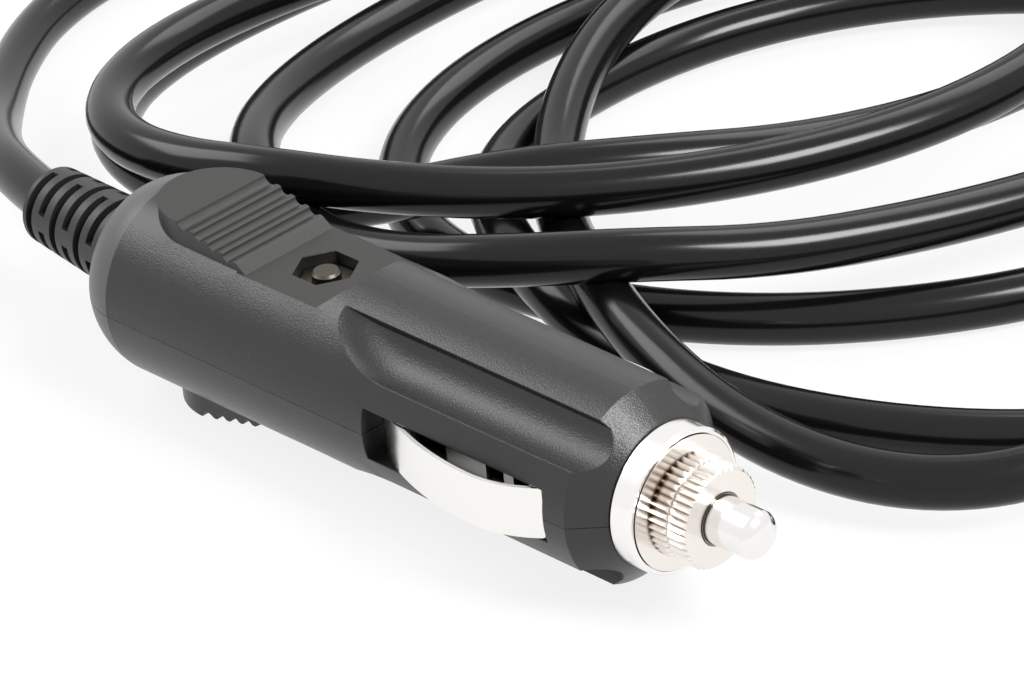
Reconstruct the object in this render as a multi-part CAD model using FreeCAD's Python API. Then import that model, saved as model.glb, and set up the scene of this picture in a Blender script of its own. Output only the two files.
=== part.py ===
import FreeCAD, Part
import math
import os
from FreeCAD import Vector

# Cigarette lighter plug, twelve volt, with a fused nose and a free cable.
# Millimetres. +X runs along the plug towards its centre contact, +Z is up.
# The plug lies on its lower thumb pad, so the floor is Z = 0. Shapes are drawn
# in the plug's own axes, with X = 0 at the nose face and the axis at Z = 0,
# and then moved to their place on the floor.

# Body, two half shells that meet on the level plane through the axis
NOSE_RADIUS = 7.45
FRONT_RADIUS = 10.2
REAR_RADIUS = 10.65
CHAMFER_LENGTH = 2.95
SHOULDER_LENGTH = 4.4
END_FACE_RADIUS = 9.1
SHOULDER_BULGE = 0.25
PARTING_GAP = 0.06
CAVITY_RADIUS = 7.0
CAVITY_FRONT = -4.2
CAVITY_REAR_WALL = 5.9
FIT = 0.05
WIDE = 60.0

# Thumb pads, top and bottom: a round-ended plateau, ridges, then a facet
PAD_HEIGHT = 11.4
PAD_HALF_WIDTH = 5.95
PLATEAU_LENGTH = 7.0
PAD_SETBACK = 4.8
PLATEAU_EDGE = 0.3
RIDGE_COUNT = 4
RIDGE_PITCH = 2.03
RIDGE_DROP = 0.48
RIDGE_FIRST_HEIGHT = 10.95
RIDGE_CREST_WIDTH = 0.8
RIDGE_CREST_RISE = 0.12
VALLEY_DEPTH = 0.55
FACET_HEIGHT = 8.56
RIDGE_FOOT_GAP = 0.58
FACET_BEHIND_SCREW = 6.35
FACET_AHEAD_OF_SCREW = 4.95
RAMP_ANGLE = 40.0

# Flutes, four of them, each from a sharp upper ridge to a soft lower one
FLUTE_RIDGE_ANGLE = 63.3
FLUTE_LOW_ANGLE = 31.8
FLUTE_CENTRE_ANGLE = 49.5
FLUTE_RADIUS = 4.2
FLUTE_BODY_RADIUS = 10.3
FLUTE_AHEAD_OF_FUSE_REAR = 8.5
FLUTE_RUNOUT = 8.0

# Side windows and the pockets behind them
WINDOW_AHEAD_OF_FUSE_REAR = 6.0
WINDOW_FRONT = -5.8
WINDOW_HALF_HEIGHT = 2.87
POCKET_OUTER = 7.6
POCKET_INNER = 6.95
POCKET_HALF_HEIGHT = 4.0
FOOT_POCKET_INNER = 5.0
FOOT_POCKET_MARGIN = 1.3

# Inner ribs that hold the fuse sleeve
RIB_WIDTH = 1.6
RIB_BEHIND_SLEEVE_FRONT = 1.7
RIB_AHEAD_OF_FUSE_REAR = 2.7

# Locating pins between the half shells
LOCATING_FRONT_X = -4.0
LOCATING_BEHIND_SCREW = 11.95
LOCATING_Y = 8.8
LOCATING_RADIUS = 0.7
LOCATING_LENGTH = 1.5
LOCATING_CLEARANCE = 0.08

# Nose collar
COLLAR_RADIUS = 7.37
COLLAR_LENGTH = 2.71
COLLAR_LIP = 0.5
COLLAR_RECESS = 0.8
COLLAR_NECK_RADIUS = 6.2
COLLAR_FLANGE_RADIUS = 6.9
COLLAR_FLANGE_FRONT = -2.2
COLLAR_FLANGE_WIDTH = 1.4
COLLAR_EDGE = 0.25

# Knurled cap, screwed into the collar
CAP_RADIUS = 5.15
CAP_FRONT = 7.33
CAP_FLANGE_PROUD = 0.14
CAP_FLANGE_GAP = 0.1
CAP_SKIRT_RADIUS = 4.9
CAP_SKIRT_REAR = -6.0
CAP_THREAD_CLEARANCE = 0.08
CAP_WALL_FRONT = 1.5
CAP_BORE_RADIUS = 3.35
KNURL_TEETH = 40
KNURL_DEPTH = 0.45
KNURL_GROOVE_X = 5.0
KNURL_GROOVE_WIDTH = 0.8
KNURL_GROOVE_DEPTH = 0.45
CAP_EDGE = 0.35

# Centre contact and its spring
PIN_RADIUS = 2.43
PIN_CLEARANCE = 0.07
PIN_GUIDE_STEP = 0.2
PIN_SHOULDER_X = 11.8
PIN_TIP_X = 12.9
PIN_TIP_RADIUS = 1.25
PIN_FLANGE_RADIUS = 3.15
PIN_FLANGE_WIDTH = 1.05
PIN_FLANGE_GAP = 0.1
PIN_STEM_RADIUS = 1.5
PIN_STEM_LENGTH = 2.6
SPRING_WIRE_RADIUS = 0.28
SPRING_MEAN_RADIUS = 2.45
SPRING_TURNS = 6
SPRING_GAP = 0.03

# Glass fuse in its insulating sleeve
FUSE_LENGTH = 30.0
FUSE_RADIUS = 3.15
FUSE_CAP_LENGTH = 6.0
FUSE_CAP_WALL = 0.35
FUSE_GLASS_WALL = 0.6
FUSE_GLASS_CLEARANCE = 0.02
FUSE_ELEMENT_RADIUS = 0.15
FUSE_FRONT = -6.1
SLEEVE_RADIUS = 4.7
SLEEVE_BORE_RADIUS = 3.3
SLEEVE_FRONT = -6.3
SLEEVE_REAR_WALL = 2.4
SLEEVE_TAIL = 0.9

# Rear terminal of the fuse
TERMINAL_DISC_WIDTH = 0.5
TERMINAL_STEM_RADIUS = 1.0
TERMINAL_TAG_WIDTH = 0.6
TERMINAL_TAG_HALF_HEIGHT = 1.4
TERMINAL_TAG_REACH = 5.6
SEAT_GAP = 0.05

# Side contacts: sprung strips that bulge through the windows
LEAF_THICKNESS = 0.4
LEAF_HALF_WIDTH = 2.75
LEAF_CROWN_SETBACK = 8.2
LEAF_CROWN_Y = 12.1
LEAF_REAR_MARGIN = 1.9
LEAF_REAR_Y = 8.9
LEAF_FRONT_MARGIN = 0.6
LEAF_FRONT_Y = 9.5
FOOT_EAR_REACH = 0.7
FOOT_EAR_GAP = 0.1

# Contact strip: a U of sheet metal that carries both side contacts
STRIP_THICKNESS = 0.4
STRIP_OUTER_Y = 7.5
STRIP_HALF_WIDTH = 3.6
STRIP_BASE_HALF_WIDTH = 3.0
STRIP_BASE_BEHIND_FUSE = 5.8
STRIP_AHEAD_OF_WINDOW = 0.7
STRIP_SLOT_CLEARANCE = 0.2
STRIP_SLOT_MARGIN = 0.45
STRIP_REAR_HOLE = (2.6, 6.8)
STRIP_MIDDLE_HOLE = (-9.6, -7.2)
STRIP_FRONT_HOLE = (-5.9, -3.8)
STRIP_HOLE_HALF_WIDTH = 1.9

# Clamp screw and its nut
SCREW_BEHIND_STRIP = 3.15
SCREW_RADIUS = 1.5
SCREW_TIP_Z = 8.3
SCREW_TIP_EDGE = 0.25
SCREW_HEAD_RADIUS = 2.75
SCREW_HEAD_HEIGHT = 1.8
SCREW_SEAT_Z = -6.2
SCREW_CROSS_LENGTH = 3.0
SCREW_CROSS_WIDTH = 0.7
SCREW_CROSS_DEPTH = 1.0
SCREW_CLEARANCE = 0.1
COUNTERBORE_RADIUS = 3.1
POST_RADIUS = 2.8
BOSS_WALL = 1.0
BOSS_FLOOR = 1.2
NUT_FLATS = 5.5
NUT_HEIGHT = 2.4
NUT_SEAT_Z = 4.8
NUT_RECESS_FLATS = 5.94

# Strain relief, leaning the way the cable pulls it
RELIEF_LEAN = 4.5
RELIEF_TAIL_LENGTH = 18.3
RELIEF_BASE_RADIUS = 5.1
RELIEF_END_RADIUS = 4.3
RELIEF_END_EDGE = 0.5
RELIEF_NECK_RADIUS = 4.5
RELIEF_FLANGE_RADIUS = 6.2
RELIEF_WALL = 2.4
RELIEF_FLANGE_WIDTH = 1.9
RELIEF_SLOTS = 6
RELIEF_SLOT_PITCH = 2.23
RELIEF_SLOT_WIDTH = 1.1
RELIEF_SLOT_FIRST = 1.65
RELIEF_SLOT_FLOOR = 3.25
RELIEF_BRIDGE = 1.8
RELIEF_TWIST = -10.0

# Cable and its two wires inside the body
CABLE_RADIUS = 2.75
CABLE_INSIDE = 8.0
CABLE_CLAMP_RADIUS = 2.8
WIRE_RADIUS = 0.9
WIRE_OFFSET = 4.5
WIRE_CLEARANCE = 0.4
WIRE_IN_CABLE = 1.3
WIRE_BEND_NEAR = 6.9
WIRE_BEND_FAR = 13.4

# Free cable: the lead from the strain relief to the coil, on the floor
BEND_SHARE = 0.45
LEAD_ROUTE = (
    (-61.30, 4.20, 10.6),
    (-71.30, 9.50, 8.4),
    (-81.30, 17.50, 5.4),
    (-90.80, 27.00, 2.75),
    (-98.80, 38.50, 2.75),
    (-102.80, 52.00, 2.75),
    (-102.30, 66.50, 2.75),
    (-95.80, 80.50, 2.75),
    (-83.80, 92.00, 2.75),
    (-68.80, 98.50, 2.75),
)

# Each turn of the loose coil: centre X and Y, half length, half width, angle
TURNS = (
    (-3.0, 78.5, 53.7, 40.5, 55.1),
    (18.5, 73.4, 55.4, 47.2, 26.9),
    (11.4, 64.8, 57.7, 36.2, -38.4),
    (-17.6, 74.2, 60.6, 44.0, 82.2),
    (-34.6, 71.3, 59.1, 36.3, 60.1),
    (-27.7, 65.4, 58.8, 35.5, 60.1),
)
COIL_LAYERS = 3

# The last stretch, from the coil to the small plug on the cable's far end
TAIL_ROUTE = (
    (-9.30, 126.50, 8.0),
    (0.70, 133.00, 5.9),
    (12.70, 138.50, 5.2),
    (25.70, 141.00, 5.2),
)

# Barrel plug on the far end of the cable
JACK_BODY_RADIUS = 5.2
JACK_BODY_LENGTH = 17.0
JACK_RELIEF_RADIUS = 3.7
JACK_RELIEF_LENGTH = 9.0
JACK_GRIP_COUNT = 5
JACK_GRIP_PITCH = 2.2
JACK_GRIP_FIRST = 3.6
JACK_GRIP_WIDTH = 0.9
JACK_GRIP_DEPTH = 0.35
JACK_EDGE = 0.8
BARREL_RADIUS = 2.73
BARREL_ROOT_RADIUS = 2.55
BARREL_WALL = 0.3
BARREL_LENGTH = 9.5
BARREL_SEAT = 4.0
JACK_LINER_WALL = 0.75
JACK_BORE_RADIUS = 1.05
JACK_CONTACT_RECESS = 1.2

# Places along the plug, worked out from the nose back to the rear face
FUSE_REAR = FUSE_FRONT - FUSE_LENGTH
WINDOW_REAR = FUSE_REAR + WINDOW_AHEAD_OF_FUSE_REAR
FLUTE_STRAIGHT_REAR = FUSE_REAR + FLUTE_AHEAD_OF_FUSE_REAR
RIB_FRONTS = (SLEEVE_FRONT - RIB_BEHIND_SLEEVE_FRONT, FUSE_REAR + RIB_AHEAD_OF_FUSE_REAR)
LEAF_REAR_X = WINDOW_REAR + LEAF_REAR_MARGIN
LEAF_FRONT_X = WINDOW_FRONT - LEAF_FRONT_MARGIN
LEAF_CROWN_X = WINDOW_FRONT - LEAF_CROWN_SETBACK
STRIP_FRONT_X = WINDOW_FRONT + STRIP_AHEAD_OF_WINDOW
STRIP_BASE_X = FUSE_REAR - STRIP_BASE_BEHIND_FUSE
SCREW_X = STRIP_BASE_X - SCREW_BEHIND_STRIP
LOCATING_X = (LOCATING_FRONT_X, SCREW_X - LOCATING_BEHIND_SCREW)
FACET_FRONT = SCREW_X + FACET_AHEAD_OF_SCREW
FACET_REAR = SCREW_X - FACET_BEHIND_SCREW
PLATEAU_FRONT = FACET_REAR - RIDGE_COUNT * RIDGE_PITCH - RIDGE_FOOT_GAP
PAD_REAR = PLATEAU_FRONT - PLATEAU_LENGTH
BODY_LENGTH = PAD_SETBACK - PAD_REAR
CAVITY_REAR = CAVITY_REAR_WALL - BODY_LENGTH
CABLE_END_X = CABLE_INSIDE - BODY_LENGTH

# The pin tip and the strain relief's end lie equally far from X = 0
RELIEF_END_X = (
    -BODY_LENGTH
    - RELIEF_TAIL_LENGTH * math.cos(math.radians(RELIEF_LEAN))
    - (RELIEF_END_RADIUS - RELIEF_END_EDGE) * math.sin(math.radians(RELIEF_LEAN))
)
NOSE_X = -(PIN_TIP_X + RELIEF_END_X) / 2


def cylinder_x(radius, x0, x1, y=0.0, z=0.0):
    return Part.makeCylinder(radius, x1 - x0, Vector(x0, y, z), Vector(1, 0, 0))


def cylinder_z(radius, z0, z1, x=0.0, y=0.0):
    return Part.makeCylinder(radius, z1 - z0, Vector(x, y, z0), Vector(0, 0, 1))


def block(x0, x1, y0, y1, z0, z1):
    return Part.makeBox(x1 - x0, y1 - y0, z1 - z0, Vector(x0, y0, z0))


def both_sides(shape):
    """The shape and its mirror image across the plug's upright middle plane."""
    return shape.fuse(shape.mirror(Vector(0, 0, 0), Vector(0, 1, 0)))


def turn_about_x(edges):
    face = Part.Face(Part.Wire(edges))
    return face.revolve(Vector(0, 0, 0), Vector(1, 0, 0), 360)


def turned(points):
    """A solid turned about the X axis from a closed (x, radius) outline."""
    corners = [Vector(x, 0, radius) for x, radius in points]
    return turn_about_x(Part.makePolygon(corners + corners[:1]).Edges)


def hexagon(flats, z0, z1, x):
    """An upright hexagonal prism with two corners on the X axis."""
    across = flats / math.sqrt(3)
    corners = [
        Vector(x + across * math.cos(math.radians(a)), across * math.sin(math.radians(a)), z0)
        for a in range(0, 361, 60)
    ]
    return Part.Face(Part.makePolygon(corners)).extrude(Vector(0, 0, z1 - z0))


def rounded_path(points):
    """Straight runs joined by tangent arcs, each as large as its runs allow."""
    edges = []
    radii = []
    start = points[0]
    for before, corner, after in zip(points, points[1:], points[2:]):
        way_in = (corner - before).normalize()
        way_out = (after - corner).normalize()
        half_turn = way_in.getAngle(way_out) / 2
        reach = BEND_SHARE * min(corner.distanceToPoint(before), corner.distanceToPoint(after))
        arc_start = corner - way_in * reach
        arc_end = corner + way_out * reach
        bisector = (way_out - way_in).normalize()
        radius = reach / math.tan(half_turn)
        middle = corner + bisector * (radius / math.cos(half_turn) - radius)
        edges.append(Part.LineSegment(start, arc_start).toShape())
        edges.append(Part.Arc(arc_start, middle, arc_end).toShape())
        radii.append(radius)
        start = arc_end
    edges.append(Part.LineSegment(start, points[-1]).toShape())
    return Part.Wire(edges), radii


def tube(points, radius):
    path, radii = rounded_path(points)
    ring = Part.Circle(points[0], points[1] - points[0], radius).toShape()
    solid = path.makePipeShell([Part.Wire([ring])], True, True)
    return solid, path.Length, radii


def body_blank():
    """The turned outside of the body, with its front chamfer and rear shoulder."""
    nose = Vector(0, 0, NOSE_RADIUS)
    front = Vector(-CHAMFER_LENGTH, 0, FRONT_RADIUS)
    rear = Vector(-BODY_LENGTH + SHOULDER_LENGTH, 0, REAR_RADIUS)
    end = Vector(-BODY_LENGTH, 0, END_FACE_RADIUS)
    middle = (rear + end) * 0.5 + Vector(-SHOULDER_BULGE, 0, SHOULDER_BULGE)
    outline = [
        Part.LineSegment(Vector(0, 0, 0), nose).toShape(),
        Part.LineSegment(nose, front).toShape(),
        Part.LineSegment(front, rear).toShape(),
        Part.Arc(rear, middle, end).toShape(),
        Part.LineSegment(end, Vector(-BODY_LENGTH, 0, 0)).toShape(),
        Part.LineSegment(Vector(-BODY_LENGTH, 0, 0), Vector(0, 0, 0)).toShape(),
    ]
    return turn_about_x(outline)


def facet_cut():
    """What is planed off in front of the ridges, up a ramp to the crown."""
    top = REAR_RADIUS + 1
    run = (top - FACET_HEIGHT) / math.tan(math.radians(RAMP_ANGLE))
    corners = [
        Vector(FACET_REAR, -WIDE, FACET_HEIGHT),
        Vector(FACET_FRONT, -WIDE, FACET_HEIGHT),
        Vector(FACET_FRONT + run, -WIDE, top),
        Vector(FACET_REAR, -WIDE, top),
    ]
    return Part.Face(Part.makePolygon(corners + corners[:1])).extrude(Vector(0, 2 * WIDE, 0))


def ridge_edges():
    """Side view of the ridges: a rounded crest and a hollow valley for each."""
    edges = []
    here = Vector(PLATEAU_FRONT, 0, PAD_HEIGHT)
    for ridge in range(RIDGE_COUNT):
        crest_x = PLATEAU_FRONT + RIDGE_PITCH * (ridge + 1)
        crest_z = RIDGE_FIRST_HEIGHT - RIDGE_DROP * ridge
        rise = Vector(crest_x - RIDGE_CREST_WIDTH / 2, 0, crest_z - RIDGE_CREST_RISE)
        crest = Vector(crest_x, 0, crest_z)
        fall = Vector(crest_x + RIDGE_CREST_WIDTH / 2, 0, crest_z - RIDGE_CREST_RISE)
        valley = (here + rise) * 0.5
        valley.z = rise.z - VALLEY_DEPTH + RIDGE_CREST_RISE + RIDGE_DROP / 2
        edges.append(Part.Arc(here, valley, rise).toShape())
        edges.append(Part.Arc(rise, crest, fall).toShape())
        here = fall
    return edges, here


def ridges_foot():
    return FACET_REAR + RIDGE_PITCH / 2


def ridge_bed():
    """What is planed off the round body so that the ridges run right across."""
    return block(PLATEAU_FRONT, ridges_foot(), -PAD_HALF_WIDTH, PAD_HALF_WIDTH, FACET_HEIGHT, WIDE)


def thumb_pad():
    """The raised pad, cut to its round-ended outline seen from above."""
    ridges, last = ridge_edges()
    foot = Vector(ridges_foot(), 0, FACET_HEIGHT)
    core = Vector(foot.x, 0, CAVITY_RADIUS + 1)
    rear_low = Vector(PAD_REAR, 0, core.z)
    rear_high = Vector(PAD_REAR, 0, PAD_HEIGHT)
    side = [Part.LineSegment(rear_high, Vector(PLATEAU_FRONT, 0, PAD_HEIGHT)).toShape()]
    side += ridges
    side += Part.makePolygon([last, foot, core, rear_low, rear_high]).Edges
    slab = Part.Face(Part.Wire(side)).extrude(Vector(0, 2 * PAD_HALF_WIDTH, 0))
    slab.translate(Vector(0, -PAD_HALF_WIDTH, 0))
    round_end = Part.Ellipse(Vector(PLATEAU_FRONT, 0, 0), PLATEAU_FRONT - PAD_REAR, PAD_HALF_WIDTH)
    outline = Part.Face(Part.Wire([round_end.toShape()])).extrude(Vector(0, 0, WIDE))
    straight = block(PLATEAU_FRONT, foot.x, -PAD_HALF_WIDTH, PAD_HALF_WIDTH, 0, WIDE)
    return slab.common(outline.fuse(straight)).removeSplitter()


def polar(radius, degrees, x=0.0):
    """A point at an angle above the near side's level, about the plug's axis."""
    angle = math.radians(degrees)
    return Vector(x, -radius * math.cos(angle), radius * math.sin(angle))


def flute_cut():
    """A round-bottomed groove that runs out to a point at its upper ridge."""
    spread = math.radians(FLUTE_CENTRE_ANGLE - FLUTE_LOW_ANGLE)
    chord = FLUTE_BODY_RADIUS * math.sin(spread)
    centre_radius = FLUTE_BODY_RADIUS * math.cos(spread) + math.sqrt(FLUTE_RADIUS ** 2 - chord ** 2)
    centre = polar(centre_radius, FLUTE_CENTRE_ANGLE, FLUTE_STRAIGHT_REAR)
    lifted = polar(FLUTE_BODY_RADIUS + FLUTE_RADIUS, FLUTE_RIDGE_ANGLE, FLUTE_STRAIGHT_REAR)
    lift = lifted - centre
    swing = (FLUTE_RUNOUT ** 2 + lift.Length ** 2) / (2 * lift.Length)
    angle = math.degrees(math.asin(min(1.0, FLUTE_RUNOUT / swing))) + 5
    up = Vector(lift).normalize()
    groove = cylinder_x(FLUTE_RADIUS, FLUTE_STRAIGHT_REAR, CHAMFER_LENGTH, centre.y, centre.z)
    disc = Part.Face(Part.Wire([Part.Circle(centre, Vector(1, 0, 0), FLUTE_RADIUS).toShape()]))
    runout = disc.revolve(centre + up * swing, up.cross(Vector(1, 0, 0)), angle)
    sector = Part.makePolygon([
        Vector(-BODY_LENGTH, 0, 0),
        polar(WIDE, FLUTE_LOW_ANGLE - 15, -BODY_LENGTH),
        polar(WIDE, FLUTE_RIDGE_ANGLE, -BODY_LENGTH),
        Vector(-BODY_LENGTH, 0, 0),
    ])
    wedge = Part.Face(sector).extrude(Vector(BODY_LENGTH + CHAMFER_LENGTH, 0, 0))
    return groove.fuse(runout).common(wedge)


def screw_post():
    """The post round the screw, wider where it holds the nut and the head."""
    nut_boss_radius = NUT_RECESS_FLATS / math.sqrt(3) + BOSS_WALL
    head_boss_radius = COUNTERBORE_RADIUS + BOSS_WALL
    post = cylinder_z(POST_RADIUS, -CAVITY_RADIUS, CAVITY_RADIUS, SCREW_X)
    nut_boss = cylinder_z(nut_boss_radius, NUT_SEAT_Z - BOSS_FLOOR, CAVITY_RADIUS, SCREW_X)
    head_boss = cylinder_z(head_boss_radius, -CAVITY_RADIUS, SCREW_SEAT_Z + BOSS_FLOOR, SCREW_X)
    return post.fuse(nut_boss).fuse(head_boss)


def inner_space():
    """Everything that is hollow inside the closed body."""
    space = cylinder_x(CAVITY_RADIUS, CAVITY_REAR, CAVITY_FRONT)
    for rib_front in RIB_FRONTS:
        rib = cylinder_x(CAVITY_RADIUS + 1, rib_front - RIB_WIDTH, rib_front)
        space = space.cut(rib.cut(cylinder_x(SLEEVE_RADIUS + FIT, rib_front - RIB_WIDTH, rib_front)))
    space = space.cut(screw_post())
    half = POCKET_HALF_HEIGHT
    strip_rear = STRIP_BASE_X - STRIP_SLOT_MARGIN
    strip_front = STRIP_FRONT_X + STRIP_SLOT_MARGIN
    pocket = block(strip_rear, strip_front, POCKET_INNER, POCKET_OUTER, -half, half)
    for foot_x in (LEAF_REAR_X, LEAF_FRONT_X):
        behind = foot_x - FOOT_POCKET_MARGIN
        ahead = foot_x + FOOT_POCKET_MARGIN
        pocket = pocket.fuse(block(behind, ahead, FOOT_POCKET_INNER, POCKET_OUTER, -half, half))
    window = block(
        WINDOW_REAR, WINDOW_FRONT, POCKET_INNER, WIDE, -WINDOW_HALF_HEIGHT, WINDOW_HALF_HEIGHT
    )
    base_front = STRIP_BASE_X + STRIP_THICKNESS + FIT
    base_slot = block(
        STRIP_BASE_X - FIT, base_front, 0, POCKET_OUTER, -STRIP_BASE_HALF_WIDTH - FIT, STRIP_BASE_HALF_WIDTH + FIT
    )
    return space.fuse(both_sides(pocket.fuse(window).fuse(base_slot)))


def nose_space():
    """The seat that grips the collar's neck and flange."""
    flange_rear = COLLAR_FLANGE_FRONT - COLLAR_FLANGE_WIDTH
    neck = cylinder_x(COLLAR_NECK_RADIUS + FIT, COLLAR_FLANGE_FRONT, 1)
    flange = cylinder_x(COLLAR_FLANGE_RADIUS + FIT, flange_rear - FIT, COLLAR_FLANGE_FRONT + FIT)
    throat = cylinder_x(CAP_SKIRT_RADIUS + 4 * FIT, CAVITY_FRONT - 1, flange_rear)
    return neck.fuse(flange).fuse(throat)


def relief_space():
    """The seat of the strain relief, and the clamp behind the cable's end."""
    wall_front = -BODY_LENGTH + RELIEF_WALL
    neck = cylinder_x(RELIEF_NECK_RADIUS + FIT, -BODY_LENGTH - 1, wall_front)
    flange = cylinder_x(RELIEF_FLANGE_RADIUS + FIT, wall_front - FIT, wall_front + RELIEF_FLANGE_WIDTH + FIT)
    clamp = cylinder_x(CABLE_CLAMP_RADIUS, wall_front, CAVITY_REAR + 1)
    return neck.fuse(flange).fuse(clamp)


def whole_body():
    body = body_blank()
    pad = thumb_pad()
    facet = facet_cut().fuse(ridge_bed())
    flutes = both_sides(flute_cut())
    for flipped in (0, 180):
        facet_here = facet.copy()
        facet_here.rotate(Vector(0, 0, 0), Vector(1, 0, 0), flipped)
        pad_here = pad.copy()
        pad_here.rotate(Vector(0, 0, 0), Vector(1, 0, 0), flipped)
        flutes_here = flutes.copy()
        flutes_here.rotate(Vector(0, 0, 0), Vector(1, 0, 0), flipped)
        body = body.cut(facet_here).cut(flutes_here).fuse(pad_here)
    body = body.cut(inner_space()).cut(nose_space()).cut(relief_space())
    return body.cut(cylinder_z(SCREW_RADIUS + SCREW_CLEARANCE, -WIDE, WIDE, SCREW_X))


def locating_pins(radius, length):
    pins = [
        cylinder_z(radius, -length, length, x, side * LOCATING_Y)
        for x in LOCATING_X
        for side in (-1, 1)
    ]
    return pins[0].fuse(pins[1:])


def shells():
    body = whole_body()
    split = PARTING_GAP / 2
    upper = body.common(block(-WIDE * 2, WIDE, -WIDE, WIDE, split, WIDE))
    lower = body.common(block(-WIDE * 2, WIDE, -WIDE, WIDE, -WIDE, -split))
    upper = upper.cut(hexagon(NUT_RECESS_FLATS, NUT_SEAT_Z, WIDE, SCREW_X))
    lower = lower.cut(cylinder_z(COUNTERBORE_RADIUS, -WIDE, SCREW_SEAT_Z, SCREW_X))
    socket_radius = LOCATING_RADIUS + LOCATING_CLEARANCE
    pins = locating_pins(LOCATING_RADIUS, LOCATING_LENGTH)
    near_floor = block(-WIDE * 2, WIDE, -WIDE, WIDE, -LOCATING_LENGTH, LOCATING_LENGTH)
    upper = upper.cut(locating_pins(socket_radius, LOCATING_LENGTH + FIT))
    lower = lower.fuse(pins.common(near_floor))
    return upper.removeSplitter(), lower.removeSplitter()


def nose_collar():
    flange_rear = COLLAR_FLANGE_FRONT - COLLAR_FLANGE_WIDTH
    thread = CAP_SKIRT_RADIUS + CAP_THREAD_CLEARANCE
    recess = COLLAR_LENGTH - COLLAR_RECESS
    return turned([
        (flange_rear, thread),
        (flange_rear, COLLAR_FLANGE_RADIUS),
        (COLLAR_FLANGE_FRONT, COLLAR_FLANGE_RADIUS),
        (COLLAR_FLANGE_FRONT, COLLAR_NECK_RADIUS),
        (0.0, COLLAR_NECK_RADIUS),
        (0.0, COLLAR_RADIUS - COLLAR_EDGE),
        (COLLAR_EDGE, COLLAR_RADIUS),
        (COLLAR_LENGTH - COLLAR_EDGE, COLLAR_RADIUS),
        (COLLAR_LENGTH, COLLAR_RADIUS - COLLAR_EDGE),
        (COLLAR_LENGTH, COLLAR_RADIUS - COLLAR_LIP),
        (recess, COLLAR_RADIUS - COLLAR_LIP),
        (recess, thread),
    ])


def knurled_cap():
    """Serrated barrel, seating flange, threaded skirt and the bore for the pin."""
    flange_rear = COLLAR_LENGTH - COLLAR_RECESS + SEAT_GAP
    flange_front = COLLAR_LENGTH + CAP_FLANGE_PROUD
    flange_radius = COLLAR_RADIUS - COLLAR_LIP - CAP_FLANGE_GAP
    barrel_rear = (flange_rear + flange_front) / 2
    corners = []
    for tooth in range(KNURL_TEETH):
        for part, radius in ((0.0, CAP_RADIUS), (0.5, CAP_RADIUS - KNURL_DEPTH)):
            angle = 360 * (tooth + part) / KNURL_TEETH
            corners.append(polar(radius, angle, barrel_rear))
    star = Part.Face(Part.makePolygon(corners + corners[:1]))
    barrel = star.extrude(Vector(CAP_FRONT - barrel_rear, 0, 0))
    groove_floor = CAP_RADIUS - KNURL_GROOVE_DEPTH
    envelope = turned([
        (barrel_rear, 0.0),
        (barrel_rear, CAP_RADIUS),
        (KNURL_GROOVE_X - KNURL_GROOVE_WIDTH / 2, CAP_RADIUS),
        (KNURL_GROOVE_X, groove_floor),
        (KNURL_GROOVE_X + KNURL_GROOVE_WIDTH / 2, CAP_RADIUS),
        (CAP_FRONT - CAP_EDGE, CAP_RADIUS),
        (CAP_FRONT, CAP_RADIUS - CAP_EDGE),
        (CAP_FRONT, 0.0),
    ])
    barrel = barrel.common(envelope)
    flange = cylinder_x(flange_radius, flange_rear, flange_front)
    skirt = cylinder_x(CAP_SKIRT_RADIUS, CAP_SKIRT_REAR, flange_rear)
    bore = cylinder_x(CAP_BORE_RADIUS, CAP_SKIRT_REAR, CAP_FRONT - CAP_WALL_FRONT)
    hole = cylinder_x(PIN_RADIUS + PIN_GUIDE_STEP + PIN_CLEARANCE, CAP_SKIRT_REAR, CAP_FRONT)
    return skirt.fuse(flange).fuse(barrel).cut(bore).cut(hole).removeSplitter()


def pin_flange_front():
    return CAP_FRONT - CAP_WALL_FRONT - PIN_FLANGE_GAP


def centre_contact():
    """A turned pin with a rounded tip, a stop flange and a spring stem."""
    flange_front = pin_flange_front()
    flange_rear = flange_front - PIN_FLANGE_WIDTH
    stem_rear = flange_rear - PIN_STEM_LENGTH
    guide_radius = PIN_RADIUS + PIN_GUIDE_STEP
    guide_front = CAP_FRONT + PIN_FLANGE_GAP
    shoulder = Vector(PIN_SHOULDER_X, 0, PIN_RADIUS)
    tip = Vector(PIN_TIP_X, 0, PIN_TIP_RADIUS)
    round_middle = Vector(
        PIN_SHOULDER_X + (PIN_TIP_X - PIN_SHOULDER_X) * 0.62, 0, PIN_RADIUS - (PIN_RADIUS - PIN_TIP_RADIUS) * 0.38
    )
    outline = Part.makePolygon([
        Vector(PIN_TIP_X, 0, 0),
        Vector(stem_rear, 0, 0),
        Vector(stem_rear, 0, PIN_STEM_RADIUS),
        Vector(flange_rear, 0, PIN_STEM_RADIUS),
        Vector(flange_rear, 0, PIN_FLANGE_RADIUS),
        Vector(flange_front, 0, PIN_FLANGE_RADIUS),
        Vector(flange_front, 0, guide_radius),
        Vector(guide_front, 0, guide_radius),
        Vector(guide_front, 0, PIN_RADIUS),
        shoulder,
    ]).Edges
    outline.append(Part.Arc(shoulder, round_middle, tip).toShape())
    outline.append(Part.LineSegment(tip, Vector(PIN_TIP_X, 0, 0)).toShape())
    return turn_about_x(outline)


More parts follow.
